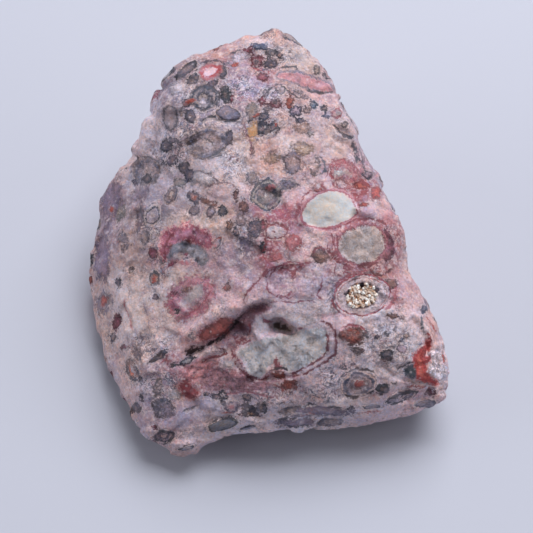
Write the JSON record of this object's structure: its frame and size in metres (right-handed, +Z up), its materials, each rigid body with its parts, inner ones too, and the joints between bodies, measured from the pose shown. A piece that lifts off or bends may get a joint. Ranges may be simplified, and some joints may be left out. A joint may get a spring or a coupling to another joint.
{
  "type": "orbicular jasper specimen",
  "caption": "Rough broken piece of orbicular jasper with a domed broad face, a crossing step, chipped walls, a flat base and a small hollow lined with crystals.",
  "frame": {"origin": "bottom centre of the bounding box, on the flat base", "axes": "+Z up from the base; +Y towards the high end of the broad face; -Y towards its low tip and the front wall; +X to the right seen from the front wall"},
  "size_m": [0.0436, 0.0482, 0.0249],
  "materials": {
    "jasper": "rough broken stone, cream-pink with grey, red and pale green orbs",
    "crystals": "small cream-white crystals with brown grains"
  },
  "bodies": {
    "root": {"jasper_stone": "jasper", "vug_crystals": "crystals"}
  },
  "joints": []
}
